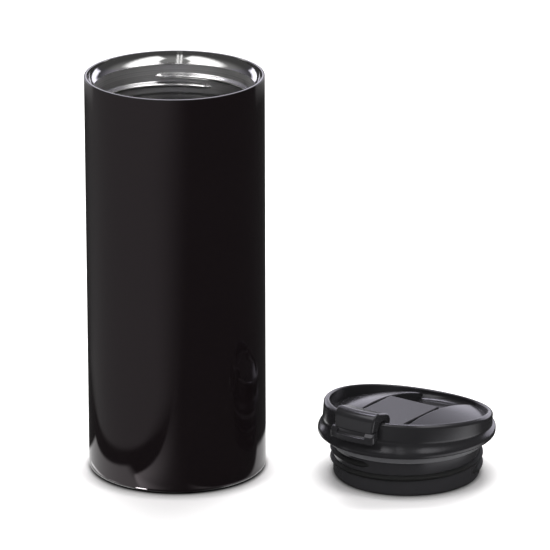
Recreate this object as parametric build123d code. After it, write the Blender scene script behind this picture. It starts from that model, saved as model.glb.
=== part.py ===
"""Insulated tumbler: a double-wall steel cup, with its screw lid set down beside it.

Millimetres, +Z up. The origin is the centre of the tumbler's base, on the surface it stands on.
The lid is modelled about its own axis, with +X towards the lever's hook, and then set in place.
"""

import os
from math import asin, atan2, cos, degrees, hypot, radians, sin

from build123d import *

# ---- Tumbler -------------------------------------------------------------------------------
TUMBLER_HEIGHT = 160.0
SHELL_R = 35.0              # outside of the cup
STEEL = 0.5                 # sheet thickness of shell, liner and both bottoms
LIP_HEIGHT = 0.6            # the liner's edge, turned out over the shell
LIP_ROUND = 0.2
BEVEL_RUN = 2.6             # how far the hollow bevel steps in from the lip to the neck
BEVEL_DEPTH = 4.6
BEVEL_SAG = 0.55            # how far the bevel's arc bows outwards
NECK_DEPTH = 16.0           # lip to the end of the neck
VACUUM_GAP = 2.1            # clear space between chamber wall and shell
CHAMBER_STEP = 1.2          # height of the cone between neck and chamber
CHAMBER_FLOOR = 9.0         # inside floor above the surface
CHAMBER_CORNER = 7.0

EDGE_ROUND = 1.0            # the shell's bottom edge, rolled inwards
EDGE_LIFT = 0.4             # rolled edge above the surface
EDGE_WIDTH = 1.8            # rolled edge, from the outside to the base cap

VACUUM_BASE_Z = 4.5         # underside of the inner bottom
DIMPLE_R = 7.0
DIMPLE_RISE = 1.2
PUMP_HOLE_R = 1.0
SEAL_BEAD_R = 2.6
SEAL_BEAD_DROP = 0.9
GETTER_R = 4.0
GETTER_HEIGHT = 1.4
GETTER_EDGE = 0.3
GETTER_OFFSET = 18.0
CAP_FLANGE_HEIGHT = 1.4

# ---- Lid -----------------------------------------------------------------------------------
LID_GAP = 20.8              # clear space between tumbler and lid
LID_BEARING = -5.4          # direction from the tumbler to the lid
HOOK_HEADING = 234.0        # direction that the hook points in

PLUG_HEIGHT = 17.3          # surface to the underside of the flange
PLUG_PLAY = 2.5             # neck wall to the root of the lid's thread
PLUG_WALL = 2.0
PLUG_FOOT = 1.1             # rounding at the foot, outside
PLUG_FOOT_IN = 0.4
PLUG_WEB = 1.6              # disc at the top of the skirt
PLUG_WEB_ROUND = 1.0
PLUG_GROOVE = 1.4           # depth of the gasket's groove
GASKET_HEIGHT = 3.3
GASKET_CLEAR = 0.25         # gasket to neck wall
GASKET_ROUND = 0.6

FLANGE_EDGE = 0.4           # rounding under the flange
FLANGE_THICK = 0.9
SHOULDER_RISE = 2.0         # flange's underside to the shoulder above its edge
SHOULDER_INSET = 0.12
WAIST_RISE = 3.5            # to the middle of the side's hollow
WAIST_INSET = 1.3
WAIST_TILT = 1.6
COLLAR_RISE = 5.1           # to the start of the collar, which stands square to the slanted rim
COLLAR_TILT = 3.2
COLLAR_INSET = 1.6
RIM_RISE = 10.8             # to the rim, at the lid's axis
RIM_SLOPE = 0.127           # its rise there towards the hook, per millimetre
RIM_BOW_R = 360.0           # radius of its sweep from the hook to the rear
RIM_WALL = 2.3
RIM_ROUND_OUT = 1.5
RIM_ROUND_IN = 0.6

DECK_FLOOR = 2.0            # thickness of the channel's floor
DECK_RISE = 9.1             # channel's floor to the top of the deck
DECK_DOME_R = 95.0
DECK_TOP_X = 4.5
DECK_ROUND = 0.6
DECK_WALL = 1.8
CHANNEL_WALL = 2.4          # island side beside the channel
CHANNEL_SWEEP = 3.0         # radius of the floor's sweep up to the rim

# ---- Lever ---------------------------------------------------------------------------------
LEVER_HALF = 11.5           # half the strip's width
LEVER_SIDE_GAP = 0.6        # strip to channel wall
LEVER_SINK = 1.0            # strip's top below the top of the deck
LEVER_THICK = 2.3
LEVER_REACH = 5.4           # strip's rear end behind the lid's axis
LEVER_EDGE = 0.5
PIVOT_BACK = 2.6            # pivot behind the lid's axis
PIVOT_DROP = 2.5            # pivot below the strip's top
BARREL_R = 2.4
TRUNNION_R = 1.5
TRUNNION_PLAY = 0.06        # running clearance in the socket
TRUNNION_LENGTH = 1.9       # beyond the strip's side
SOCKET_END_PLAY = 0.2

HOOK_GAP = 1.2              # leg to collar
HOOK_THICK = 4.1            # leg
HOOK_EDGE = 0.9             # rounding along the sides of leg and arch
HOOK_BOW = 12.5             # centre of the hook's bend behind the lid's axis
RIM_CLEAR = 0.35            # arch to the top of the rim
ARCH_THICK = 3.4
ARCH_DEPTH = 13.3           # leg's outer face back to the foot of the arch
ARCH_FOOT_ROUND = 1.5
ARCH_SHOULDER_ROUND = 3.6
CREST_RISE = 4.9            # underside of the arch to its crest
CREST_FALL = 3.2            # crest to the shoulder at the rear of the arch
CREST_ROUND = 3.4
CREST_TUCK = 2.0            # each side of the arch inside the strip's side
LEG_TAPER = 1.1             # each side of the leg's foot inside the arch's side
LIP_BOTTOM = 6.1            # underside of the finger lip above the flange
LIP_TALL = 4.4              # height of its two end lobes
LIP_NOSE_DROP = 1.3         # top of a lobe to its nose
LIP_OUT = 1.1               # finger lip beyond the leg
LIP_EDGE = 0.5
LIP_ROUND_NOSE = 0.9
LIP_ROUND_END = 1.4         # rounding of the two ends, seen from above
LIP_SPREAD = 15.4           # half its angle about the lid's axis
SCOOP_SPREAD = 9.6          # half the angle of the finger scoop between the lobes
SCOOP_DEPTH = 0.9           # top of the lobes to the scoop, against the leg
SCOOP_FALL = 1.2            # how far the scoop falls to the nose
SCOOP_SAG = 0.35

SPOUT_HOLE_R = 4.5
SPOUT_INSET = 2.4           # inside of the skirt to the drinking hole
SPOUT_BOSS_WALL = 2.1
SPOUT_BOSS_RISE = 2.6       # boss above the channel's floor
BOSS_ROOT = 0.5             # how deep the bosses start in the floor
SEAL_FLANGE = 1.5           # stopper's flange beyond the hole
SEAL_SEAT_GAP = 0.15        # stopper to boss
SEAL_NOSE_PLAY = 1.1
SEAL_NOSE_DROP = 1.2
SEAL_NOSE_ROUND = 0.8
SEAL_ROUND = 0.4
VENT_SPACE = 2.8            # between the two bosses
VENT_HOLE_R = 1.0
VENT_BOSS_WALL = 1.6
VENT_SEAL_OVERLAP = 1.3

# ---- Sizes that follow ---------------------------------------------------------------------
LIP_INNER_R = SHELL_R - 2 * STEEL
SHELL_BORE_R = SHELL_R - STEEL
NECK_R = LIP_INNER_R - BEVEL_RUN            # bore that the lid's plug enters
CHAMBER_R = SHELL_BORE_R - VACUUM_GAP - STEEL
EDGE_INNER_R = SHELL_R - EDGE_WIDTH         # hole that the base cap closes

FLANGE_R = SHELL_R
COLLAR_R = FLANGE_R - COLLAR_INSET
RIM_BORE_R = COLLAR_R - RIM_WALL
RIM_MID_Z = PLUG_HEIGHT + RIM_RISE
RIM_TILT = degrees(atan2(RIM_SLOPE, 1))
LEAN_BASE_Z = PLUG_HEIGHT + FLANGE_THICK
COLLAR_LOW_Z = PLUG_HEIGHT + COLLAR_RISE
RIM_TOP_LIMIT = RIM_MID_Z + RIM_SLOPE * FLANGE_R + RIM_WALL
RIM_BOW_X = RIM_BOW_R * sin(radians(RIM_TILT))          # centre of the sweep
RIM_BOW_Z = RIM_MID_Z - RIM_BOW_R * cos(radians(RIM_TILT))
PLUG_R = NECK_R - PLUG_PLAY
GASKET_R = NECK_R - GASKET_CLEAR
GASKET_BORE_R = PLUG_R - PLUG_GROOVE
CHANNEL_HALF = LEVER_HALF + LEVER_SIDE_GAP
CHANNEL_FLOOR_Z = PLUG_HEIGHT + DECK_FLOOR
DECK_TOP_Z = CHANNEL_FLOOR_Z + DECK_RISE

LEVER_TOP_Z = DECK_TOP_Z - LEVER_SINK
LEVER_UNDER_Z = LEVER_TOP_Z - LEVER_THICK
PIVOT_X = -PIVOT_BACK
PIVOT_Z = LEVER_TOP_Z - PIVOT_DROP
LEG_INNER_X = COLLAR_R - RIM_SLOPE * (COLLAR_LOW_Z - LEAN_BASE_Z) + HOOK_GAP    # at the collar's start
LEG_OUTER_X = LEG_INNER_X + HOOK_THICK
ARCH_UNDER_Z = RIM_BOW_Z + (RIM_BOW_R**2 - (COLLAR_R - RIM_WALL - RIM_BOW_X) ** 2) ** 0.5 + RIM_CLEAR
CREST_Z = ARCH_UNDER_Z + CREST_RISE
CREST_HALF = LEVER_HALF - CREST_TUCK
LEG_HALF = CREST_HALF - LEG_TAPER
LIP_BOTTOM_Z = PLUG_HEIGHT + LIP_BOTTOM
LIP_TOP_Z = LIP_BOTTOM_Z + LIP_TALL

SPOUT_X = PLUG_R - PLUG_WALL - SPOUT_INSET - SPOUT_HOLE_R
SPOUT_BOSS_R = SPOUT_HOLE_R + SPOUT_BOSS_WALL
BOSS_TOP_Z = CHANNEL_FLOOR_Z + SPOUT_BOSS_RISE
VENT_BOSS_R = VENT_HOLE_R + VENT_BOSS_WALL
VENT_X = SPOUT_X - SPOUT_BOSS_R - VENT_SPACE - VENT_BOSS_R
LID_DISTANCE = SHELL_R + FLANGE_R + LID_GAP


def outline(points):
    """Closed XZ face from (x, z, corner radius) points."""
    corners = [(x, 0, z) for x, z, _ in points]
    wire = FilletPolyline(*corners, radius=[r for _, _, r in points], close=True)
    return Face(Wire(wire.edges()))


def bowed(start, end, sag):
    """Arc in the XZ plane between two (x, z) points, bowed to the right of its run by the sag."""
    (x0, z0), (x1, z1) = start, end
    share = sag / hypot(x1 - x0, z1 - z0)
    middle = ((x0 + x1) / 2 + (z1 - z0) * share, 0, (z0 + z1) / 2 - (x1 - x0) * share)
    return ThreePointArc((x0, 0, z0), middle, (x1, 0, z1))


def spun_face(*lines):
    """XZ face from lines and arcs that close."""
    return Face(Wire([edge for line in lines for edge in line.edges()]))


def spun(*lines):
    """Solid of revolution about Z from lines and arcs that close in the XZ plane."""
    return revolve(spun_face(*lines), Axis.Z)


def turned(points):
    """Solid of revolution about Z from (radius, z, corner radius) points."""
    return revolve(outline(points), Axis.Z)


def disc(radius, bottom, top, x=0.0):
    """Upright cylinder between two heights."""
    centred = (Align.CENTER, Align.CENTER, Align.MIN)
    return Pos(x, 0, bottom) * Cylinder(radius, top - bottom, align=centred)


def across(radius, half_length):
    """Cylinder along the pivot's axis."""
    return Pos(PIVOT_X, 0, PIVOT_Z) * Rot(90, 0, 0) * Cylinder(radius, 2 * half_length)


def block(x_low, x_high, half_width, z_low, z_high):
    """Box across the lever's direction, centred on Y."""
    low = (Align.MIN, Align.CENTER, Align.MIN)
    return Pos(x_low, 0, z_low) * Box(x_high - x_low, 2 * half_width, z_high - z_low, align=low)


# ---- Tumbler pieces ------------------------------------------------------------------------
def liner_core(grow):
    """Everything inside the liner's wall, with the wall's thickness added when it is the outside."""
    top = TUMBLER_HEIGHT
    neck_top = top - BEVEL_DEPTH
    neck_end = top - NECK_DEPTH
    step_end = neck_end - CHAMBER_STEP
    floor = CHAMBER_FLOOR - grow
    wall = [
        (NECK_R + grow, 0, neck_top),
        (NECK_R + grow, 0, neck_end),
        (CHAMBER_R + grow, 0, step_end),
        (CHAMBER_R + grow, 0, floor),
        (0, 0, floor),
    ]
    return spun(
        Polyline((0, 0, floor), (0, 0, top), (LIP_INNER_R + grow, 0, top)),
        bowed((NECK_R + grow, neck_top), (LIP_INNER_R + grow, top), BEVEL_SAG),
        FilletPolyline(*wall, radius=[0, 0, CHAMBER_CORNER + grow]),
    )


def inner_liner():
    """Lip turned out over the shell, hollow bevel, neck and chamber in one sheet."""
    lip_low = TUMBLER_HEIGHT - LIP_HEIGHT
    lip = turned([
        (LIP_INNER_R, lip_low, 0),
        (SHELL_R, lip_low, 0),
        (SHELL_R, TUMBLER_HEIGHT, LIP_ROUND),
        (LIP_INNER_R, TUMBLER_HEIGHT, LIP_ROUND),
    ])
    return liner_core(STEEL) + lip - liner_core(0)


def outer_shell():
    """Straight tube, with the bottom edge rolled inwards to carry the cap."""
    ring_top = EDGE_LIFT + STEEL
    tube = turned([
        (EDGE_INNER_R, EDGE_LIFT, 0),
        (SHELL_R, EDGE_LIFT, EDGE_ROUND + STEEL),
        (SHELL_R, TUMBLER_HEIGHT - LIP_HEIGHT, 0),
        (SHELL_BORE_R, TUMBLER_HEIGHT - LIP_HEIGHT, 0),
        (SHELL_BORE_R, ring_top, EDGE_ROUND),
        (EDGE_INNER_R, ring_top, 0),
    ])
    return tube - liner_core(STEEL)


def vacuum_base():
    """Spun cup welded into the shell, open downwards, with a dimple round the pump-out hole."""
    under, top = VACUUM_BASE_Z, VACUUM_BASE_Z + STEEL
    skirt_low = EDGE_LIFT + STEEL + EDGE_ROUND
    skirt_in = SHELL_BORE_R - STEEL
    return turned([
        (PUMP_HOLE_R, under + DIMPLE_RISE, 0),
        (DIMPLE_R - DIMPLE_RISE, under + DIMPLE_RISE, 0),
        (DIMPLE_R, under, 0),
        (skirt_in, under, EDGE_ROUND),
        (skirt_in, skirt_low, 0),
        (SHELL_BORE_R, skirt_low, 0),
        (SHELL_BORE_R, top, EDGE_ROUND + STEEL),
        (DIMPLE_R, top, 0),
        (DIMPLE_R - DIMPLE_RISE, top + DIMPLE_RISE, 0),
        (PUMP_HOLE_R, top + DIMPLE_RISE, 0),
    ])


def evacuation_seal():
    """Bead melted over the pump-out hole, flat against the dimple's roof."""
    roof = VACUUM_BASE_Z + DIMPLE_RISE
    tip = roof - SEAL_BEAD_DROP
    return spun(
        bowed((0, tip), (SEAL_BEAD_R, roof), SEAL_BEAD_DROP / 4),
        Polyline((SEAL_BEAD_R, 0, roof), (0, 0, roof), (0, 0, tip)),
    )


def getter():
    """Pill that stands on the inner bottom, in the vacuum space."""
    bottom = VACUUM_BASE_Z + STEEL
    return chamfer(disc(GETTER_R, bottom, bottom + GETTER_HEIGHT, GETTER_OFFSET).edges(), GETTER_EDGE)


def base_cap():
    """Shallow flat dish that the cup stands on."""
    return turned([
        (0, 0, 0),
        (EDGE_INNER_R, 0, EDGE_LIFT),
        (EDGE_INNER_R, CAP_FLANGE_HEIGHT, 0),
        (EDGE_INNER_R - STEEL, CAP_FLANGE_HEIGHT, 0),
        (EDGE_INNER_R - STEEL, STEEL, 0),
        (0, STEEL, 0),
    ])


# ---- Lid pieces, about the lid's own axis --------------------------------------------------
def dome(inset):
    """Ball whose cap is the deck's top, or lies the given distance under it."""
    return Pos(DECK_TOP_X, 0, DECK_TOP_Z - DECK_DOME_R) * Sphere(DECK_DOME_R - inset)


def lean_x(z):
    """How far the leaning collar's centre lies from the lid's axis at a height."""
    return -RIM_SLOPE * (z - LEAN_BASE_Z)


def leaning(radius, bottom, top, tilt=0.0):
    """Cylinder square to the slanted rim, from a level or tilted plane up to a level one."""
    post = Pos(0, 0, LEAN_BASE_Z) * Rot(0, -RIM_TILT, 0) * Cylinder(radius, 4 * FLANGE_R)
    post &= block(-2 * FLANGE_R, 2 * FLANGE_R, 2 * FLANGE_R, 0, top)
    return post & Pos(0, 0, bottom) * Rot(0, -tilt, 0) * above(0)


def above(z):
    """Everything over a level plane."""
    low = (Align.CENTER, Align.CENTER, Align.MIN)
    return Pos(0, 0, z) * Box(6 * FLANGE_R, 6 * FLANGE_R, 3 * FLANGE_R, align=low)


def ring(rise, inset, tilt=0.0):
    """Section of the side at a height over the flange's underside."""
    z = PLUG_HEIGHT + rise
    return (Pos(lean_x(z), 0, z) * Rot(0, -tilt, 0) * Circle(FLANGE_R - inset)).faces()[0]


def lid_blank():
    """Flange, hollow side and leaning collar as one solid body, cut off along the rim's sweep."""
    flange = turned([
        (0, PLUG_HEIGHT, 0),
        (FLANGE_R, PLUG_HEIGHT, FLANGE_EDGE),
        (FLANGE_R, LEAN_BASE_Z, 0),
        (0, LEAN_BASE_Z, 0),
    ])
    band = leaning(COLLAR_R, COLLAR_LOW_Z, RIM_TOP_LIMIT, COLLAR_TILT)
    side = loft([
        ring(FLANGE_THICK, 0),
        ring(SHOULDER_RISE, SHOULDER_INSET),
        ring(WAIST_RISE, WAIST_INSET, WAIST_TILT),
        band.faces().filter_by(GeomType.PLANE).sort_by(Axis.Z)[0],
    ])
    sweep = Pos(RIM_BOW_X, 0, RIM_BOW_Z) * Rot(90, 0, 0) * Cylinder(RIM_BOW_R, 4 * FLANGE_R)
    return (flange + side + band) & sweep


def rim_edges(body, outer):
    """Outer or inner edges of the swept face on top of the collar."""
    middle = COLLAR_R - RIM_WALL / 2

    def off_sweep(point):
        return abs(hypot(point.X - RIM_BOW_X, point.Z - RIM_BOW_Z) - RIM_BOW_R)

    def on_sweep(edge):
        return max(off_sweep(edge @ 0.1), off_sweep(edge @ 0.6)) < 0.001

    def is_outer(edge):
        point = edge @ 0
        return hypot(point.X - lean_x(point.Z), point.Y) > middle

    return body.edges().filter_by(lambda edge: on_sweep(edge) and is_outer(edge) == outer)


def collar():
    """Lid body hollowed down to the channel's floor, which sweeps up to the rounded rim."""
    bore = leaning(RIM_BORE_R, CHANNEL_FLOOR_Z, RIM_TOP_LIMIT)
    body = lid_blank() - fillet(bore.edges().group_by(Axis.Z)[0], CHANNEL_SWEEP)
    body = fillet(rim_edges(body, True), RIM_ROUND_OUT)
    return fillet(rim_edges(body, False), RIM_ROUND_IN)


def islands():
    """Two domed sides of the deck, rounded where they fall to the lever's channel."""
    root = CHANNEL_FLOOR_Z - DECK_FLOOR / 2
    slab = disc(FLANGE_R, root, DECK_TOP_Z) & dome(0)
    slab -= block(-2 * FLANGE_R, 2 * FLANGE_R, CHANNEL_HALF, 0, RIM_TOP_LIMIT)

    def is_brow(edge):
        point = edge.center()
        return abs(abs(point.Y) - CHANNEL_HALF) < 0.01 and point.Z > DECK_TOP_Z - CHANNEL_SWEEP

    slab = fillet(slab.edges().filter_by(is_brow), DECK_ROUND)
    return slab & leaning(COLLAR_R - RIM_WALL / 2, root, DECK_TOP_Z)


def lid_shell():
    """Collar with a recessed domed deck in two islands, and the lever's channel between them."""
    body = collar() + islands()
    below = PLUG_HEIGHT - STEEL
    hollow = disc(RIM_BORE_R - DECK_WALL, below, DECK_TOP_Z) & dome(DECK_WALL)
    hollow -= block(-2 * FLANGE_R, 2 * FLANGE_R, CHANNEL_HALF + CHANNEL_WALL, 0, RIM_TOP_LIMIT)
    body -= hollow
    for hole, boss, x in ((SPOUT_HOLE_R, SPOUT_BOSS_R, SPOUT_X), (VENT_HOLE_R, VENT_BOSS_R, VENT_X)):
        body += disc(boss, CHANNEL_FLOOR_Z - BOSS_ROOT, BOSS_TOP_Z, x)
        body -= disc(hole, below, RIM_TOP_LIMIT, x)
    return body - across(TRUNNION_R + TRUNNION_PLAY, LEVER_HALF + TRUNNION_LENGTH + SOCKET_END_PLAY)


def lid_plug():
    """Threaded skirt, open below, with a web that carries the lid and a groove for the gasket."""
    groove_low = PLUG_HEIGHT - GASKET_HEIGHT
    skirt = turned([
        (PLUG_R - PLUG_WALL, 0, PLUG_FOOT_IN),
        (PLUG_R, 0, PLUG_FOOT),
        (PLUG_R, groove_low, 0),
        (GASKET_BORE_R, groove_low, 0),
        (GASKET_BORE_R, PLUG_HEIGHT, 0),
        (0, PLUG_HEIGHT, 0),
        (0, PLUG_HEIGHT - PLUG_WEB, 0),
        (PLUG_R - PLUG_WALL, PLUG_HEIGHT - PLUG_WEB, PLUG_WEB_ROUND),
    ])
    skirt -= disc(SPOUT_HOLE_R, 0, LEAN_BASE_Z, SPOUT_X)
    return skirt - disc(VENT_HOLE_R, 0, LEAN_BASE_Z, VENT_X)


def neck_gasket():
    """Silicone ring between the skirt's shoulder and the flange."""
    low = PLUG_HEIGHT - GASKET_HEIGHT
    return turned([
        (GASKET_BORE_R, low, 0),
        (GASKET_R, low, GASKET_ROUND),
        (GASKET_R, PLUG_HEIGHT, GASKET_ROUND),
        (GASKET_BORE_R, PLUG_HEIGHT, 0),
    ])


# ---- Lever pieces --------------------------------------------------------------------------
def hook_section():
    """Arch over the rim and the leg outside it, as an XZ face. The leg leans with the collar."""
    foot = LEG_OUTER_X - ARCH_DEPTH
    inner_foot = foot + ARCH_THICK
    tail = foot - ARCH_THICK
    low = LIP_BOTTOM_Z + LIP_TALL / 4
    inner_round = CREST_ROUND / 2

    def leg_x(x, z):
        return x + lean_x(z) - lean_x(COLLAR_LOW_Z)

    return outline([
        (tail, LEVER_TOP_Z, 0),
        (foot, LEVER_TOP_Z, ARCH_FOOT_ROUND),
        (foot, CREST_Z - CREST_FALL, ARCH_SHOULDER_ROUND),
        (leg_x(LEG_OUTER_X, CREST_Z), CREST_Z, CREST_ROUND),
        (leg_x(LEG_OUTER_X, low), low, 0),
        (leg_x(LEG_INNER_X, low), low, 0),
        (leg_x(LEG_INNER_X, ARCH_UNDER_Z), ARCH_UNDER_Z, inner_round),
        (inner_foot, ARCH_UNDER_Z, inner_round),
        (inner_foot, LEVER_UNDER_Z, LEVER_EDGE),
        (tail, LEVER_UNDER_Z, 0),
    ])


def swung(face, spread, back=0.0):
    """Solid from an XZ face turned about an upright axis, the same angle to each side of +X."""
    axis = Axis((-back, 0, 0), (0, 0, 1))
    return revolve(face, axis, 2 * spread).rotate(axis, -spread)


def hook():
    """Arch and leg, narrower towards the foot, with rounded sides."""
    wide = degrees(asin(LEVER_HALF / (LEG_OUTER_X - ARCH_DEPTH))) + RIM_TILT
    low = Pos(0, 0, LIP_BOTTOM_Z) * Rectangle(4 * FLANGE_R, 2 * LEG_HALF)
    high = Pos(0, 0, CREST_Z) * Rectangle(4 * FLANGE_R, 2 * CREST_HALF)
    body = swung(hook_section(), wide, HOOK_BOW) & loft([low.faces()[0], high.faces()[0]])
    sides = body.faces().filter_by(GeomType.PLANE).filter_by(lambda face: abs(face.normal_at().Y) > 0.9)
    rims = [edge for face in sides for edge in face.edges()]

    def is_outer(edge):
        point = edge @ 0.5
        over_leg = point.X > LEG_OUTER_X - HOOK_THICK / 2 and point.Z > LIP_TOP_Z
        return over_leg or (point.Z > ARCH_UNDER_Z + HOOK_EDGE and point.X > LEG_OUTER_X - ARCH_DEPTH)

    return fillet([edge for edge in rims if is_outer(edge)], HOOK_EDGE)


def finger_lip():
    """Bar along the foot of the leg, scooped out between two rounded end lobes."""
    nose = LEG_OUTER_X + LIP_OUT
    bar = swung(outline([
        (LEG_INNER_X, LIP_TOP_Z, 0),
        (LEG_OUTER_X, LIP_TOP_Z, 0),
        (nose, LIP_TOP_Z - LIP_NOSE_DROP, 0),
        (nose, LIP_BOTTOM_Z, 0),
        (LEG_INNER_X, LIP_BOTTOM_Z, LIP_EDGE),
    ]), LIP_SPREAD)

    def beyond_leg(edge, margin):
        return hypot((edge @ 0.5).X, (edge @ 0.5).Y) > LEG_OUTER_X + margin

    corners = bar.edges().filter_by(Axis.Z).filter_by(lambda edge: beyond_leg(edge, LIP_OUT / 2))
    bar = fillet(corners, LIP_ROUND_END)
    bar = fillet(bar.edges().filter_by(lambda edge: beyond_leg(edge, LIP_OUT / 4)), LIP_ROUND_NOSE)
    start = (LEG_OUTER_X, LIP_TOP_Z - SCOOP_DEPTH)
    end = (nose + LIP_EDGE, LIP_TOP_Z - SCOOP_DEPTH - SCOOP_FALL)
    corners = [(x, 0, z) for x, z in (end, (end[0], CREST_Z), (start[0], CREST_Z), start)]
    return bar - swung(spun_face(bowed(start, end, SCOOP_SAG), Polyline(*corners)), SCOOP_SPREAD)


def flip_lever():
    """Strip with a barrel and trunnions at the rear, and a hook with a finger lip in front."""
    strip = block(-LEVER_REACH, LEG_OUTER_X - ARCH_DEPTH, LEVER_HALF, LEVER_UNDER_Z, LEVER_TOP_Z)
    strip = fillet(strip.faces().sort_by(Axis.Z)[-1].edges(), LEVER_EDGE)
    barrel = across(BARREL_R, LEVER_HALF)
    trunnions = across(TRUNNION_R, LEVER_HALF + TRUNNION_LENGTH)
    return strip + barrel + trunnions + hook() + finger_lip()


def spout_seal():
    """Soft stopper under the strip: a flange on the boss and a nose in the drinking hole."""
    seat = BOSS_TOP_Z + SEAL_SEAT_GAP
    nose = BOSS_TOP_Z - SEAL_NOSE_DROP
    return Pos(SPOUT_X, 0, 0) * turned([
        (0, nose, 0),
        (SPOUT_HOLE_R - SEAL_NOSE_PLAY, nose, SEAL_NOSE_ROUND),
        (SPOUT_HOLE_R - SEAL_ROUND, seat, 0),
        (SPOUT_HOLE_R + SEAL_FLANGE, seat, SEAL_ROUND),
        (SPOUT_HOLE_R + SEAL_FLANGE, LEVER_UNDER_Z, 0),
        (0, LEVER_UNDER_Z, 0),
    ])


def vent_seal():
    """Soft nub under the strip that lies over the air hole."""
    return disc(VENT_HOLE_R + VENT_SEAL_OVERLAP, BOSS_TOP_Z + SEAL_SEAT_GAP, LEVER_UNDER_Z, VENT_X)


def main():
    """Builds every piece and writes one STEP file for each."""
    os.makedirs("parts", exist_ok=True)
    bearing = radians(LID_BEARING)
    place = Pos(LID_DISTANCE * cos(bearing), LID_DISTANCE * sin(bearing), 0) * Rot(0, 0, HOOK_HEADING)
    tumbler = [outer_shell, inner_liner, vacuum_base, evacuation_seal, getter, base_cap]
    lid = [lid_shell, lid_plug, neck_gasket, flip_lever, spout_seal, vent_seal]
    for piece in tumbler:
        export_step(piece(), f"parts/{piece.__name__}.step")
    for piece in lid:
        export_step(place * piece(), f"parts/{piece.__name__}.step")
    pivot = place * Pos(PIVOT_X, 0, PIVOT_Z)
    print("lid centre", place.position, "pivot", pivot.position)


main()
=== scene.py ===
"""Looks of an insulated tumbler and its loose screw lid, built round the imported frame.

Metres, +Z up. The origin is the centre of the tumbler's base, on the surface it stands on.
Every rigid form comes with the frame. What is added here is the rolled thread in the neck, the
moulded thread on the lid's plug, the finishes of all pieces, and the studio round them.
"""

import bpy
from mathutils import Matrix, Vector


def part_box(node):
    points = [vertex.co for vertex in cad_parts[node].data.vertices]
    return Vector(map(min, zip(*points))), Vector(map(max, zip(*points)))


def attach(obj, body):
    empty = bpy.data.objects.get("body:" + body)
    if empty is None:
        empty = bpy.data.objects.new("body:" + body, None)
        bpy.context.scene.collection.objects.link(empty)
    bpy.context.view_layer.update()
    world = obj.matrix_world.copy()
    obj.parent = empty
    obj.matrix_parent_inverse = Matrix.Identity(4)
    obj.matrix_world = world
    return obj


bl_info = {
    "name": "Insulated tumbler",
    "version": (1, 0, 0),
    "blender": (4, 5, 0),
    "location": "View3D > Sidebar > Tumbler",
    "description": "Threads, finishes and studio of an insulated tumbler with a loose screw lid",
    "category": "Object",
}

import math

import bpy
from bpy.props import FloatProperty, FloatVectorProperty, PointerProperty
from mathutils import Matrix, Vector

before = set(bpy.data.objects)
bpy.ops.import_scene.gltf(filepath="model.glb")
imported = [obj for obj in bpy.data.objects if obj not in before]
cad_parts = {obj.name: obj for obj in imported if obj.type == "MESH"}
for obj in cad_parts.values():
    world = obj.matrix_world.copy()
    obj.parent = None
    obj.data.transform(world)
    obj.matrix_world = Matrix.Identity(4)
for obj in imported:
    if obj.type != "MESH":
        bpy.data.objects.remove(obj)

MM = 0.001

# ---- Places that come from the frame ---------------------------------------------------------
PLUG_LOW, PLUG_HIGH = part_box("lid_plug")
TUMBLER_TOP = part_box("inner_liner")[1].z
SHELL_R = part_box("outer_shell")[1].x
LID_CENTRE = (PLUG_LOW + PLUG_HIGH) / 2
PLUG_R = (PLUG_HIGH.x - PLUG_LOW.x) / 2

# ---- Fixed numbers ---------------------------------------------------------------------------
# Threads.
RIDGE_STEPS = 240               # rings of points in one turn
RIDGE_POINTS = 20               # divisions across the ridge
RIDGE_ROOT = 0.12 * MM          # how deep the ridge's edges are sunk into the wall
RIDGE_BACK = 2.2 * RIDGE_ROOT   # how deep the point that closes each ring is sunk
RIDGE_END_WIDTH = 0.35          # part of the width that is left at an end
RIDGE_END_HEIGHT = 0.02         # part of the height that is left at an end

# Liner: depths under the lip at which one finish passes to the next. Between the NECK_ENDS, the neck's painted light
# passes into the chamber's painted shade.
POLISH_ENDS = (4.0 * MM, 5.2 * MM)
NECK_ENDS = (14.5 * MM, 20 * MM)
COAT_ENDS = (29 * MM, 30 * MM)

# Stage.
WHITE = (1.0, 1.0, 1.0, 1.0)
BLACK = (0.0, 0.0, 0.0, 1.0)
LILAC = (0.985, 0.96, 1.09, 1.0)        # tint of the card behind the set
FLOOR_TO_THE_EYE = (1.56, 1.54, 1.545, 1.0)     # above 1, so that low lamps still leave it white
FLOOR_TO_THE_SET = (0.78, 0.78, 0.78, 1.0)      # what lights the object from below
FLOOR_HALF = 4.0                # half the floor's side
FLOOR_DROP = 0.02 * MM          # keeps the floor out of the plane of the feet
CARD_SIDES = 96                 # points in each ring of the reflection card
CARD_REACH = 1.6                # radius of its ground and dome
CARD_LIFT = 0.1 * MM            # height of its ground


# ---- Sizes and colours -----------------------------------------------------------------------
class NeckThreadSizes(bpy.types.PropertyGroup):
    """Thread rolled into the tumbler's steel neck."""

    wall_radius: FloatProperty(
        name="Wall radius", description="Radius of the neck's bore", default=31.4 * MM, unit="LENGTH")
    height: FloatProperty(
        name="Ridge height", description="How far the ridge stands into the bore", default=1.5 * MM, unit="LENGTH")
    width: FloatProperty(
        name="Ridge width", description="Width of the ridge along the axis", default=3.0 * MM, unit="LENGTH")
    pitch: FloatProperty(
        name="Pitch", description="Rise of the ridge in one turn", default=3.5 * MM, unit="LENGTH")
    start_depth: FloatProperty(
        name="Start depth", description="Depth of the ridge's upper end under the lip", default=9.2 * MM,
        unit="LENGTH")
    start_bearing: FloatProperty(
        name="Start bearing", description="Direction of the ridge's upper end", default=math.radians(106),
        unit="ROTATION")
    turns: FloatProperty(name="Turns", description="Length of the ridge in turns", default=1.12, min=0.2, max=3)


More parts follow.
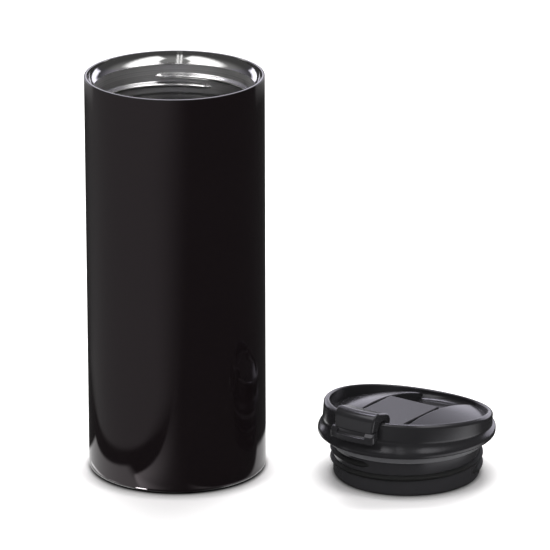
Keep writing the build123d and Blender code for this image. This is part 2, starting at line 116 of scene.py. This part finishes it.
class PlugThreadSizes(bpy.types.PropertyGroup):
    """Thread moulded on the lid's plug."""

    height: FloatProperty(
        name="Ridge height", description="How far the ridge stands out of the plug", default=1.25 * MM, unit="LENGTH")
    width: FloatProperty(
        name="Ridge width", description="Width of the ridge along the axis", default=2.6 * MM, unit="LENGTH")
    pitch: FloatProperty(
        name="Pitch", description="Rise of the ridge in one turn", default=4.1 * MM, unit="LENGTH")
    start_height: FloatProperty(
        name="Start height", description="Height of the ridge's lower end above the plug's foot",
        default=3.9 * MM, unit="LENGTH")
    start_bearing: FloatProperty(
        name="Start bearing", description="Direction of the ridge's lower end", default=math.radians(-30),
        unit="ROTATION")
    turns: FloatProperty(name="Turns", description="Length of the ridge in turns", default=1.75, min=0.2, max=3)


class FinishColours(bpy.types.PropertyGroup):
    """Colours and roughness of the tumbler's and the lid's finishes."""

    coat: FloatVectorProperty(
        name="Coat", description="Baked coat on the outside of the cup", subtype="COLOR",
        default=(0.0088, 0.0062, 0.0071), min=0, max=1)
    coat_roughness: FloatProperty(
        name="Coat roughness", description="Roughness of the baked coat", default=0.07, min=0, max=1,
        subtype="FACTOR")
    steel: FloatVectorProperty(
        name="Steel", description="Bare stainless steel", subtype="COLOR", default=(0.62, 0.615, 0.61),
        min=0, max=1)
    plastic: FloatVectorProperty(
        name="Lid plastic", description="Moulded plastic of lid and lever", subtype="COLOR",
        default=(0.0240, 0.0235, 0.0255), min=0, max=1)
    plastic_roughness: FloatProperty(
        name="Plastic roughness", description="Roughness of the moulded plastic", default=0.2, min=0, max=1,
        subtype="FACTOR")
    silicone: FloatVectorProperty(
        name="Silicone", description="Gasket and stoppers", subtype="COLOR", default=(0.16, 0.16, 0.17),
        min=0, max=1)


class StudioSizes(bpy.types.PropertyGroup):
    """Camera and even light of the studio."""

    lens: FloatProperty(name="Lens", description="Focal length of the camera", default=338.99189, unit="CAMERA")
    fill: FloatProperty(name="Fill", description="Even light from all round", default=0.4, min=0)


# ---- Helpers ---------------------------------------------------------------------------------
def sizes():
    """The sizes and colours that the panel shows."""
    return bpy.context.scene.tumbler_look


class Nodes:
    """A short way to write a node tree."""

    def __init__(self, tree):
        self.tree = tree
        tree.nodes.clear()

    def add(self, kind, inputs=None, **settings):
        node = self.tree.nodes.new(kind)
        for name, value in settings.items():
            setattr(node, name, value)
        for name, value in (inputs or {}).items():
            self.feed(node.inputs[name], value)
        return node

    def feed(self, socket, value):
        if isinstance(value, bpy.types.NodeSocket):
            self.tree.links.new(value, socket)
        elif isinstance(value, bpy.types.Node):
            self.tree.links.new(value.outputs[0], socket)
        else:
            socket.default_value = value

    def math(self, operation, *values):
        node = self.add("ShaderNodeMath", operation=operation)
        for socket, value in zip(node.inputs, values):
            self.feed(socket, value)
        return node.outputs[0]

    def chain(self, operation, values):
        total = values[0]
        for value in values[1:]:
            total = self.math(operation, total, value)
        return total

    def plus(self, *values):
        return self.chain("ADD", values)

    def minus(self, first, second):
        return self.math("SUBTRACT", first, second)

    def times(self, *values):
        return self.chain("MULTIPLY", values)

    def ramp(self, value, low, high, to_low=0.0, to_high=1.0, smooth=True):
        """to_low where the value is at low, to_high where it is at high, and no further."""
        node = self.add(
            "ShaderNodeMapRange", interpolation_type="SMOOTHSTEP" if smooth else "LINEAR",
            inputs={"Value": value, "From Min": low, "From Max": high, "To Min": to_low, "To Max": to_high})
        return node.outputs["Result"]

    def vary(self, noise, low, high):
        """From low to high with a noise, whose values lie mostly between 0.3 and 0.7."""
        return self.ramp(noise, 0.3, 0.7, low, high)

    def mix(self, factor, first, second):
        node = self.add("ShaderNodeMix", data_type="RGBA")
        self.feed(node.inputs["Factor"], factor)
        self.feed(node.inputs["A"], first)
        self.feed(node.inputs["B"], second)
        return node.outputs["Result"]

    def mix_value(self, factor, first, second):
        return self.add("ShaderNodeMix", data_type="FLOAT", inputs={0: factor, 2: first, 3: second}).outputs[0]

    def split(self, vector):
        node = self.add("ShaderNodeSeparateXYZ", inputs={"Vector": vector})
        return [node.outputs[axis] for axis in "XYZ"]

    def noise(self, place, scale, detail=3.0, roughness=0.5):
        """Noise of so many grains in a metre."""
        return self.add(
            "ShaderNodeTexNoise",
            inputs={"Vector": place, "Scale": scale, "Detail": detail, "Roughness": roughness}).outputs["Fac"]

    def bump(self, height, distance, strength):
        return self.add(
            "ShaderNodeBump",
            inputs={"Height": height, "Distance": distance, "Strength": strength}).outputs["Normal"]

    def surface(self, shader):
        self.add("ShaderNodeOutputMaterial", inputs={"Surface": shader})

    def principled(self, inputs):
        self.surface(self.add("ShaderNodeBsdfPrincipled", inputs=inputs))


def colour(value, scale=1.0):
    """RGBA of a colour, darker or lighter by the scale."""
    return (*(channel * scale for channel in value), 1.0)


def material(name):
    """New material and its tree."""
    made = bpy.data.materials.new(name)
    made.use_nodes = True
    return made, Nodes(made.node_tree)


def object_place(tree):
    """Position in the piece's own metres."""
    return tree.add("ShaderNodeTexCoord").outputs["Object"]


def axis_radius(tree, place, centre=(0, 0)):
    """Distance from an upright axis, and height."""
    x, y, height = tree.split(place)
    x, y = tree.minus(x, centre[0]), tree.minus(y, centre[1])
    return tree.math("SQRT", tree.plus(tree.times(x, x), tree.times(y, y))), height


def bearing_from_front(tree, x, y):
    """Direction in degrees: 0 to the front, 90 to the right, 180 to the back."""
    return tree.math("DEGREES", tree.math("ARCTAN2", x, tree.times(y, -1.0)))


def finish_node(node, made):
    """Gives a frame node its finish."""
    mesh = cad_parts[node].data
    mesh.materials.clear()
    mesh.materials.append(made)


def linked_object(name, data):
    """New object in the scene."""
    made = bpy.data.objects.new(name, data)
    bpy.context.scene.collection.objects.link(made)
    return made


def smooth_mesh(name, points, faces, finish, flip=False):
    """New object from points and faces, with one finish."""
    mesh = bpy.data.meshes.new(name)
    mesh.from_pydata(points, [], faces)
    if flip:
        mesh.flip_normals()
    mesh.materials.append(finish)
    mesh.shade_smooth()
    mesh.update()
    return linked_object(name, mesh)


def ring_faces(bands, count):
    """Four-sided faces that join each ring of points to the next."""
    faces = []
    for k in range(bands):
        for i in range(count):
            a, b = k * count + i, k * count + (i + 1) % count
            faces.append((a, b, b + count, a + count))
    return faces


def helix_ridge(name, size, finish, centre, wall, inwards, start_z, start_bearing, crest, run_out):
    """Closed ridge along a right-hand helix on a round wall, fading into it at both ends.

    It starts at its lower end. Its section is half a wave, which a crest above 1 makes narrower and a crest
    below 1 broader. Run_out is the length over which each end fades.
    """
    outwards = -1 if inwards else 1
    steps = int(size.turns * RIDGE_STEPS)
    points = []

    def add_point(angle, radius, height):
        points.append((centre.x + radius * math.cos(angle), centre.y + radius * math.sin(angle), height))

    for i in range(steps + 1):
        turn = size.turns * i / steps
        angle = start_bearing + 2 * math.pi * turn
        from_end = min(turn, size.turns - turn) * 2 * math.pi * wall / run_out
        fade = math.sin(math.pi / 2 * min(1.0, from_end)) ** 2
        width = size.width * (RIDGE_END_WIDTH + (1 - RIDGE_END_WIDTH) * fade)
        middle = start_z + size.pitch * turn
        for j in range(RIDGE_POINTS + 1):
            t = j / RIDGE_POINTS
            bell = math.sin(math.pi * t) ** crest
            stand = (size.height + RIDGE_ROOT) * bell * max(fade, RIDGE_END_HEIGHT) - RIDGE_ROOT
            add_point(angle, wall + outwards * stand, middle + (t - 0.5) * width)
        add_point(angle, wall - outwards * RIDGE_BACK, middle)
    count = RIDGE_POINTS + 2
    faces = ring_faces(steps, count)
    faces.append(tuple(reversed(range(count))))
    faces.append(tuple(steps * count + j for j in range(count)))
    return smooth_mesh(name, points, faces, finish, flip=inwards)


# ---- Finishes --------------------------------------------------------------------------------
def coat_material():
    """Baked gloss coat: faint orange peel, and wipe marks in its gloss."""
    look = sizes().finish
    made, tree = material("black_coat")
    place = object_place(tree)
    peel = tree.noise(place, scale=900.0, detail=2.0)
    wipe = tree.noise(place, scale=28.0, detail=4.0, roughness=0.6)
    tree.principled({
        "Base Color": tree.mix(wipe, colour(look.coat, 0.92), colour(look.coat, 1.08)),
        "Roughness": tree.vary(wipe, look.coat_roughness - 0.03, look.coat_roughness + 0.04), "IOR": 1.5,
        "Specular Tint": (1.0, 0.89, 0.935, 1.0), "Normal": tree.bump(peel, distance=0.006 * MM, strength=0.3)})
    return made


def steel_material(name, satin_roughness=0.34, neck_painted_light=1.0):
    """Bare steel: polished at the lip and bevel, satin in the neck, with painted light in the neck and painted shade
    deep in the chamber.

    Fine lines run round it, as a brush leaves them. The coat laps over the outer side of the lip.
    """
    look = sizes().finish
    made, tree = material(name)
    place = object_place(tree)
    radius, height = axis_radius(tree, place)
    depth = tree.minus(TUMBLER_TOP, height)
    satin = tree.ramp(depth, *POLISH_ENDS)
    lines = tree.add("ShaderNodeCombineXYZ", inputs={"X": radius, "Y": 0.0, "Z": height})
    brush = tree.noise(lines, scale=9000.0, detail=2.0)
    streak = tree.ramp(tree.noise(lines, scale=1600.0, roughness=0.7), 0.35, 0.65)
    cloud = tree.noise(place, scale=60.0)
    rough = tree.plus(tree.ramp(satin, 0.0, 1.0, 0.06, satin_roughness), tree.vary(cloud, -0.02, 0.02))
    # Painted light and shade: the steel's colour is darkened deep in the chamber and lightened in the neck above it.
    chamber = tree.mix(streak, colour(look.steel, 0.32), colour(look.steel, 0.38))
    neck = tree.mix(streak, colour(look.steel, 1.1 * neck_painted_light), colour(look.steel, 1.4 * neck_painted_light))
    painted_light_by_depth = tree.mix(tree.ramp(depth, *reversed(NECK_ENDS)), chamber, neck)
    tint = tree.mix(satin, colour(look.steel), painted_light_by_depth)
    coated = tree.times(
        tree.ramp(radius, SHELL_R - 0.55 * MM, SHELL_R - 0.4 * MM), tree.ramp(depth, *reversed(COAT_ENDS)))
    tree.principled({
        "Base Color": tree.mix(coated, tint, colour(look.coat)), "Metallic": tree.minus(1.0, coated),
        "Roughness": tree.mix_value(coated, rough, look.coat_roughness),
        "Anisotropic": 0.8, "Anisotropic Rotation": 0.25,
        "Tangent": tree.add("ShaderNodeTangent", direction_type="RADIAL", axis="Z"),
        "Normal": tree.bump(brush, distance=0.01 * MM, strength=0.35)})
    return made


def hidden_steel_material():
    """Mill finish inside the vacuum space and on the underside, with fine rings from spinning."""
    look = sizes().finish
    made, tree = material("mill_steel")
    place = object_place(tree)
    radius, _ = axis_radius(tree, place)
    rings = tree.noise(tree.add("ShaderNodeCombineXYZ", inputs={"X": radius}), scale=7000.0, detail=2.0)
    cloud = tree.noise(place, scale=90.0, detail=4.0)
    tree.principled({
        "Base Color": tree.mix(cloud, colour(look.steel, 0.82), colour(look.steel)), "Metallic": 1.0,
        "Roughness": tree.vary(cloud, 0.28, 0.4), "Normal": tree.bump(rings, distance=0.012 * MM, strength=0.5)})
    return made


def glass_material():
    """Grey solder glass and pressed powder in the vacuum space."""
    made, tree = material("solder_glass")
    grain = tree.noise(object_place(tree), scale=1500.0)
    dark, pale = (0.10, 0.10, 0.11, 1.0), (0.2, 0.2, 0.21, 1.0)
    tree.principled({
        "Base Color": tree.mix(grain, dark, pale), "Roughness": 0.5,
        "Normal": tree.bump(grain, distance=0.05 * MM, strength=0.5)})
    return made


def plastic_material(name, shade=1.0, roughness=None):
    """Moulded plastic: spark-eroded grain, softer gloss where hands rub it. A shade above 1 gives a lighter copy of
    it: painted light.
    """
    look = sizes().finish
    rough = look.plastic_roughness if roughness is None else roughness
    made, tree = material(name)
    place = object_place(tree)
    grain = tree.noise(place, scale=2600.0, detail=2.0, roughness=0.6)
    cloud = tree.noise(place, scale=55.0, detail=4.0, roughness=0.55)
    tree.principled({
        "Base Color": tree.mix(cloud, colour(look.plastic, 0.9 * shade), colour(look.plastic, 1.1 * shade)),
        "Roughness": tree.vary(cloud, rough - 0.03, rough + 0.04), "IOR": 1.5,
        "Specular Tint": (0.96, 0.95, 1.0, 1.0), "Normal": tree.bump(grain, distance=0.012 * MM, strength=0.5)})
    return made


def silicone_material():
    """Silicone: matt, with a powdery sheen."""
    look = sizes().finish
    made, tree = material("silicone")
    place = object_place(tree)
    cloud = tree.noise(place, scale=120.0, detail=4.0)
    grain = tree.noise(place, scale=3000.0, detail=2.0)
    tree.principled({
        "Base Color": tree.mix(cloud, colour(look.silicone, 0.85), colour(look.silicone, 1.15)),
        "Roughness": tree.vary(cloud, 0.26, 0.34), "IOR": 1.45, "Sheen Weight": 0.1,
        "Normal": tree.bump(grain, distance=0.01 * MM, strength=0.4)})
    return made


# ---- Operators -------------------------------------------------------------------------------
class TUMBLER_OT_coat(bpy.types.Operator):
    """Coats the outside of the cup"""

    bl_idname = "tumbler.coat"
    bl_label = "Coated shell"

    def execute(self, context):
        finish_node("outer_shell", coat_material())
        return {"FINISHED"}


class TUMBLER_OT_steel(bpy.types.Operator):
    """Finishes the bare steel of liner, base cap and vacuum space"""

    bl_idname = "tumbler.steel"
    bl_label = "Bare steel"

    def execute(self, context):
        finish_node("inner_liner", steel_material("bare_steel"))
        mill = hidden_steel_material()
        for node in ("base_cap", "vacuum_base"):
            finish_node(node, mill)
        glass = glass_material()
        for node in ("evacuation_seal", "getter"):
            finish_node(node, glass)
        return {"FINISHED"}


class TUMBLER_OT_neck_thread(bpy.types.Operator):
    """Rolls the thread into the neck"""

    bl_idname = "tumbler.neck_thread"
    bl_label = "Neck thread"

    def execute(self, context):
        size = sizes().neck
        rise = size.pitch * size.turns
        # The thread's copy of the steel is lighter still in the neck: painted light.
        steel = steel_material("thread_steel", satin_roughness=0.2, neck_painted_light=1.1)
        ridge = helix_ridge(
            "neck_thread", size, steel, Vector((0, 0, 0)), size.wall_radius, inwards=True,
            start_z=TUMBLER_TOP - size.start_depth - rise,
            start_bearing=size.start_bearing - 2 * math.pi * size.turns, crest=1.6, run_out=3.4 * MM)
        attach(ridge, "tumbler")
        return {"FINISHED"}


class TUMBLER_OT_lid(bpy.types.Operator):
    """Finishes the moulded lid, its plug and its lever"""

    bl_idname = "tumbler.lid"
    bl_label = "Lid and lever"

    def execute(self, context):
        finish_node("lid_shell", plastic_material("lid_plastic"))
        # Plug and lever get lighter copies of the lid's plastic: painted light.
        finish_node("lid_plug", plastic_material("plug_plastic", shade=1.7, roughness=0.15))
        finish_node("flip_lever", plastic_material("lever_plastic", shade=1.2, roughness=0.17))
        return {"FINISHED"}


class TUMBLER_OT_plug_thread(bpy.types.Operator):
    """Moulds the thread on the plug"""

    bl_idname = "tumbler.plug_thread"
    bl_label = "Plug thread"

    def execute(self, context):
        size = sizes().plug
        ridge = helix_ridge(
            "plug_thread", size, bpy.data.materials["plug_plastic"], LID_CENTRE, PLUG_R, inwards=False,
            start_z=PLUG_LOW.z + size.start_height, start_bearing=size.start_bearing, crest=0.8,
            run_out=5 * MM)
        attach(ridge, "lid")
        return {"FINISHED"}


class TUMBLER_OT_seals(bpy.types.Operator):
    """Finishes the gasket and the two stoppers"""

    bl_idname = "tumbler.seals"
    bl_label = "Gasket and stoppers"

    def execute(self, context):
        made = silicone_material()
        for node in ("neck_gasket", "spout_seal", "vent_seal"):
            finish_node(node, made)
        return {"FINISHED"}


class TUMBLER_OT_stage(bpy.types.Operator):
    """Sets up background, floor, reflection card, lamps and camera"""

    bl_idname = "tumbler.stage"
    bl_label = "Studio"

    def execute(self, context):
        make_world()
        make_floor()
        make_cards()
        make_lamps()
        make_camera()
        context.scene.view_settings.view_transform = "Standard"
        return {"FINISHED"}


# ---- Studio ----------------------------------------------------------------------------------
def seen_directly(tree):
    """1 for camera, glossy and transmission rays."""
    path = tree.add("ShaderNodeLightPath")
    either = tree.math("MAXIMUM", path.outputs["Is Camera Ray"], path.outputs["Is Glossy Ray"])
    return tree.math("MAXIMUM", either, path.outputs["Is Transmission Ray"])


def make_world():
    """White to the eye and in reflections, and an even fill for everything else."""
    world = bpy.data.worlds.new("studio")
    bpy.context.scene.world = world
    world.use_nodes = True
    tree = Nodes(world.node_tree)
    strength = tree.ramp(seen_directly(tree), 0.0, 1.0, sizes().studio.fill, 1.0, smooth=False)
    back = tree.add("ShaderNodeBackground", inputs={"Color": WHITE, "Strength": strength})
    tree.add("ShaderNodeOutputWorld", inputs={"Surface": back})


def openness(tree, distance):
    """1 in the open, less where something stands within the distance."""
    return tree.add("ShaderNodeAmbientOcclusion", inputs={"Distance": distance}, samples=16).outputs["AO"]


def make_floor():
    """Pale floor, as white to the eye as the background, with painted shade where the feet stand on it.

    The painted shade is occlusion that darkens the floor's colour: full in front of each foot, and faint beside and
    behind it.
    """
    made, tree = material("floor")
    x, y, _ = tree.split(object_place(tree))
    lid_side = tree.ramp(x, 52 * MM, 58 * MM)
    away = tree.minus(y, tree.times(lid_side, LID_CENTRE.y))
    # Painted shade: occlusion darkens the floor's colour round the feet, deepest in front of them.
    wide = tree.math("POWER", openness(tree, 8 * MM), tree.ramp(away, 0.0, -32 * MM, 0.25, 1.5))
    tight = openness(tree, 2 * MM)
    painted_shade_colour = tree.mix(tree.times(wide, tight), BLACK, FLOOR_TO_THE_EYE)
    to_the_eye = tree.add("ShaderNodeLightPath").outputs["Is Camera Ray"]
    pale = tree.mix(to_the_eye, FLOOR_TO_THE_SET, painted_shade_colour)
    tree.surface(tree.add("ShaderNodeBsdfDiffuse", inputs={"Color": pale}))
    corners = [(-FLOOR_HALF, -FLOOR_HALF), (FLOOR_HALF, -FLOOR_HALF), (FLOOR_HALF, FLOOR_HALF),
               (-FLOOR_HALF, FLOOR_HALF)]
    corners = [(right, back, -FLOOR_DROP) for right, back in corners]
    smooth_mesh("floor", corners, [(0, 1, 2, 3)], made)


class CardPlace:
    """Says where a point of the reflection card is.

    x, y, z and radius are in metres. Across (to the right), away (to the back) and distance (from the cup's
    axis) are in millimetres. Bearing and turned (the bearing's size) are in degrees from the front. Up is the
    height over the mouth in metres, and rise is the same as an angle from the middle of the mouth, in degrees.
    """

    def __init__(self, tree):
        self.point = tree.add("ShaderNodeNewGeometry").outputs["Position"]
        self.x, self.y, self.z = tree.split(self.point)
        self.radius, _ = axis_radius(tree, self.point)
        self.across, self.away, self.distance = (
            tree.times(length, 1 / MM) for length in (self.x, self.y, self.radius))
        self.bearing = bearing_from_front(tree, self.x, self.y)
        self.turned = tree.math("ABSOLUTE", self.bearing)
        self.up = tree.minus(self.z, TUMBLER_TOP)
        self.rise = tree.math("DEGREES", tree.math("ARCTAN2", self.up, tree.math("MAXIMUM", self.radius, MM)))


def paint_panel(tree, at, edge):
    """Painted reflection of a grey panel to the left, beyond a straight edge that gets softer with distance."""
    softness = tree.ramp(at.distance, 90.0, 480.0, 5.0, 215.0, smooth=False)
    drift = tree.ramp(at.distance, 150.0, 460.0, 0.0, 126.0, smooth=False)
    inside = tree.ramp(tree.math("DIVIDE", tree.plus(edge, drift, 3.0), softness), 1.0, -1.0)
    return tree.times(inside, tree.ramp(at.bearing, -40.0, -150.0, 0.36, 0.18))


def paint_patch(tree, at):
    """Painted reflection of pale floor in front of the cup, which fades to the right and ends along two slanted
    lines.
    """
    side = tree.plus(at.across, tree.math("MULTIPLY_ADD", at.away, 0.215, 41.0))
    back = tree.plus(tree.math("MULTIPLY_ADD", at.across, -0.391, 28.3), at.away)
    fall = tree.math("POWER", tree.math("DIVIDE", side, 17.0), 2.0)
    gain = tree.math("DIVIDE", tree.plus(at.away, 65.0), 30.0)
    return tree.times(
        tree.math("EXPONENT", tree.minus(gain, fall)), tree.ramp(side, -1.0, 3.0, 0.0, 0.83),
        tree.ramp(at.away, -5.0, -30.0), tree.ramp(back, 1.5, -1.5))


def paint_beside(tree, at, edge):
    """Painted reflection of white floor close to the cup, on its left and on its right."""
    left = tree.times(
        tree.ramp(edge, 15.0, 20.0), tree.ramp(at.away, -45.0, -36.0), tree.ramp(at.across, 0.0, -20.0),
        tree.ramp(at.away, 20.0, 13.0))
    right = tree.times(
        tree.ramp(tree.minus(at.away, at.across), -54.5, -50.5), tree.ramp(at.distance, 62.0, 54.0),
        tree.ramp(at.across, 5.0, 20.0))
    return tree.plus(left, right)


def paint_by_lid(tree, at):
    """Painted reflection of pale floor to the right of the lid, which shows only from as close as the lid is."""
    radius, _ = axis_radius(tree, at.point, (LID_CENTRE.x, LID_CENTRE.y))
    bearing = bearing_from_front(tree, tree.minus(at.x, LID_CENTRE.x), tree.minus(at.y, LID_CENTRE.y))
    reach = tree.add("ShaderNodeLightPath").outputs["Ray Length"]
    return tree.times(
        tree.ramp(radius, 52 * MM, 66 * MM), tree.ramp(reach, 104 * MM, 94 * MM),
        tree.ramp(bearing, 10.0, 28.0), tree.ramp(bearing, 100.0, 68.0),
        tree.ramp(bearing, 24.0, 62.0, 0.85, 1.7, smooth=False))


def paint_foot_shade(tree, at):
    """Part of the light that is left where the cup stands: least in front."""
    depth = tree.times(tree.ramp(at.bearing, -33.0, -25.0, 0.1, 0.85), tree.ramp(at.bearing, 38.0, 29.0, 0.3, 1.0))
    return tree.minus(1.0, tree.times(tree.ramp(at.distance, 40.0, 36.5), depth))


def paint_foot_lines(tree, at):
    """Painted highlights round the foot: a short glint in front and a thin line on the left."""
    glint = tree.times(
        tree.ramp(at.distance, 35.2, 35.5), tree.ramp(at.distance, 37.0, 36.3),
        tree.ramp(at.bearing, -29.0, -27.0), tree.ramp(at.bearing, -19.5, -21.5), 45.0)
    radius = tree.ramp(at.bearing, -48.0, -76.0, 36.6, 38.6, smooth=False)
    line = tree.times(
        tree.ramp(tree.math("ABSOLUTE", tree.minus(at.distance, radius)), 0.9, 0.4),
        tree.ramp(at.bearing, -95.0, -82.0), tree.ramp(at.bearing, -40.0, -48.0), 2.0)
    return tree.plus(glint, line)


def paint_ground(tree, at):
    """Level of the card's ground."""
    edge = tree.plus(at.across, tree.math("MULTIPLY_ADD", at.away, 0.384, 76.0))
    ground = tree.plus(
        paint_panel(tree, at, edge), paint_patch(tree, at), paint_beside(tree, at, edge), paint_by_lid(tree, at))
    ground = tree.times(ground, paint_foot_shade(tree, at))
    far_back = tree.times(tree.ramp(at.distance, 520.0, 640.0), tree.ramp(at.turned, 120.0, 128.0))
    return tree.plus(ground, paint_foot_lines(tree, at), 0.04, far_back)


def paint_back(tree, at):
    """Painted reflection of a bright wall at the back, and of a narrow bright band over it."""
    top = tree.ramp(at.turned, 152.0, 168.0, 18.0, 42.0)
    level = tree.math(
        "MAXIMUM", tree.ramp(at.turned, 150.0, 170.0, 1.6, 0.68), tree.ramp(at.rise, 15.0, 8.0, 0.0, 1.2))
    wall = tree.times(tree.ramp(at.turned, 121.0, 128.0), tree.ramp(tree.minus(at.rise, top), 4.0, -2.0), level)
    band = tree.times(
        tree.ramp(at.turned, 128.0, 140.0), tree.ramp(at.rise, 52.0, 57.0), tree.ramp(at.rise, 74.0, 70.0), 7.0)
    return tree.plus(wall, band)


def paint_boxes(tree, at):
    """Painted reflection of a soft box on either side of the front, with slanted lower and upper edges."""
    lower = tree.math(
        "MAXIMUM", tree.ramp(at.turned, 36.0, 106.0, 27.0, 50.0, smooth=False),
        tree.ramp(at.turned, 12.0, 24.0, 50.0, 27.0, smooth=False))
    upper = tree.ramp(at.turned, 18.0, 50.0, 50.0, 76.0, smooth=False)
    return tree.times(
        tree.ramp(tree.minus(at.rise, lower), -5.0, 11.0), tree.ramp(tree.minus(at.rise, upper), 4.0, -4.0),
        tree.ramp(at.turned, 9.0, 24.0), tree.ramp(at.turned, 112.0, 104.0), 1.75)


def paint_strips(tree, at):
    """Painted reflection of two strip lamps that run from the front up over the mouth, a little left of the middle.
    """
    from_mouth = tree.math("SQRT", tree.plus(tree.times(at.radius, at.radius), tree.times(at.up, at.up)))
    sideways = tree.math(
        "DIVIDE", tree.math("DIVIDE", at.x, from_mouth), tree.ramp(at.rise, 30.0, 86.0, 1.76, 0.99, smooth=False))
    strips = tree.plus(*(
        tree.ramp(tree.math("ABSOLUTE", tree.minus(sideways, middle)), 0.012, 0.006)
        for middle in (-0.0384, -0.0800)))
    return tree.times(strips, tree.ramp(at.turned, 100.0, 90.0), tree.ramp(at.rise, 20.0, 27.0, 0.12, 1.6))


def paint_dome(tree, at):
    """Level of the card's wall and ceiling."""
    ceiling = tree.times(tree.ramp(at.rise, 20.0, 50.0, 0.075, 0.29), tree.ramp(at.rise, 86.0, 74.0, 0.08, 1.0))
    return tree.plus(ceiling, paint_boxes(tree, at), paint_strips(tree, at), paint_back(tree, at))


def make_cards():
    """Glowing reflection card round the set, a ground disc and a dome, which only gloss shows: every bright area on
    it is a painted reflection.
    """
    made, tree = material("cards")
    at = CardPlace(tree)
    in_dome = tree.ramp(at.z, 1 * MM, 20 * MM)
    strength = tree.mix_value(in_dome, paint_ground(tree, at), paint_dome(tree, at))
    lilac_back = tree.times(in_dome, tree.ramp(at.turned, 110.0, 125.0))
    tint = tree.mix(lilac_back, WHITE, LILAC)
    tree.surface(tree.add("ShaderNodeEmission", inputs={"Color": tint, "Strength": strength}))
    made.cycles.emission_sampling = "NONE"

    rings = [(radius, CARD_LIFT) for radius in (0.0, 0.03, 0.5, CARD_REACH)]
    for rise in range(3, 90, 3):
        rings.append((CARD_REACH * math.cos(math.radians(rise)), CARD_REACH * math.sin(math.radians(rise))))
    turns = [2 * math.pi * i / CARD_SIDES for i in range(CARD_SIDES)]
    vertices = [(radius * math.cos(turn), radius * math.sin(turn), height)
                for radius, height in rings for turn in turns]
    cards = smooth_mesh("cards", vertices, ring_faces(len(rings) - 1, CARD_SIDES), made)
    cards.visible_camera = cards.visible_diffuse = cards.visible_shadow = False
    cards.visible_transmission = cards.visible_volume_scatter = False


def lamp(name, place, aim, width, height, power):
    """Rectangular soft box that points at a place and doesn't show in gloss."""
    light = bpy.data.lights.new(name, "AREA")
    light.shape = "RECTANGLE"
    light.size, light.size_y = width, height
    light.energy = power
    made = linked_object(name, light)
    made.visible_glossy = False
    made.location = place
    made.rotation_euler = (Vector(aim) - Vector(place)).to_track_quat("-Z", "Y").to_euler()


def around_mouth(bearing, rise, distance):
    """Place seen from the tumbler's mouth: bearing from the front, to the right, and rise."""
    a, e = math.radians(bearing), math.radians(rise)
    return (distance * math.sin(a) * math.cos(e), -distance * math.cos(a) * math.cos(e),
            TUMBLER_TOP + distance * math.sin(e))


def make_lamps():
    """Two large soft boxes in front and one overhead, towards the back."""
    for side, bearing in (("left", -43), ("right", 43)):
        lamp(f"soft_box_{side}", around_mouth(bearing, rise=42, distance=1.2), aim=(0.02, 0, TUMBLER_TOP),
             width=1.1, height=1.0, power=3.5)
    lamp("top_box", (0.05, 0.55, 1.2), aim=(0.05, 0.0, 0.05), width=0.9, height=0.5, power=10.0)


def make_camera():
    """Camera of the product view, from the front and a little above."""
    data = bpy.data.cameras.new("camera")
    data.sensor_width = 36.0
    data.lens = sizes().studio.lens
    data.clip_start, data.clip_end = 0.1, 50.0
    camera = linked_object("camera", data)
    right = Vector((0.99999737, -0.00072037, -0.00217696))
    up = Vector((0.00229305, 0.31415173, 0.94937002))
    back = right.cross(up)
    place = Vector((38.70823, -1924.33490, 715.19468)) * MM
    camera.matrix_world = Matrix((
        (right.x, up.x, back.x, place.x), (right.y, up.y, back.y, place.y),
        (right.z, up.z, back.z, place.z), (0, 0, 0, 1)))
    bpy.context.scene.camera = camera


# ---- Panel and registration ------------------------------------------------------------------
class TumblerLook(bpy.types.PropertyGroup):
    """All sizes and colours."""

    neck: PointerProperty(type=NeckThreadSizes)
    plug: PointerProperty(type=PlugThreadSizes)
    finish: PointerProperty(type=FinishColours)
    studio: PointerProperty(type=StudioSizes)


OPERATORS = (
    TUMBLER_OT_coat, TUMBLER_OT_steel, TUMBLER_OT_neck_thread, TUMBLER_OT_lid, TUMBLER_OT_plug_thread,
    TUMBLER_OT_seals, TUMBLER_OT_stage,
)


class TUMBLER_PT_panel(bpy.types.Panel):
    """Lists the tumbler's pieces and their sizes"""

    bl_idname = "TUMBLER_PT_panel"
    bl_label = "Insulated tumbler"
    bl_space_type = "VIEW_3D"
    bl_region_type = "UI"
    bl_category = "Tumbler"

    def draw(self, context):
        for operator in OPERATORS:
            self.layout.operator(operator.bl_idname)
        look = context.scene.tumbler_look
        for group in (look.neck, look.plug, look.finish, look.studio):
            box = self.layout.box()
            for name in group.bl_rna.properties.keys():
                if name not in ("rna_type", "name"):
                    box.prop(group, name)


CLASSES = (
    NeckThreadSizes, PlugThreadSizes, FinishColours, StudioSizes, TumblerLook, *OPERATORS, TUMBLER_PT_panel,
)


def register():
    for each in CLASSES:
        bpy.utils.register_class(each)
    bpy.types.Scene.tumbler_look = PointerProperty(type=TumblerLook)


def unregister():
    del bpy.types.Scene.tumbler_look
    for each in reversed(CLASSES):
        bpy.utils.unregister_class(each)


def main():
    """Builds every piece in order."""
    register()
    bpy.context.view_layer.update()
    for operator in OPERATORS:
        group, name = operator.bl_idname.split(".")
        getattr(getattr(bpy.ops, group), name)()


if __name__ == "__main__":
    main()
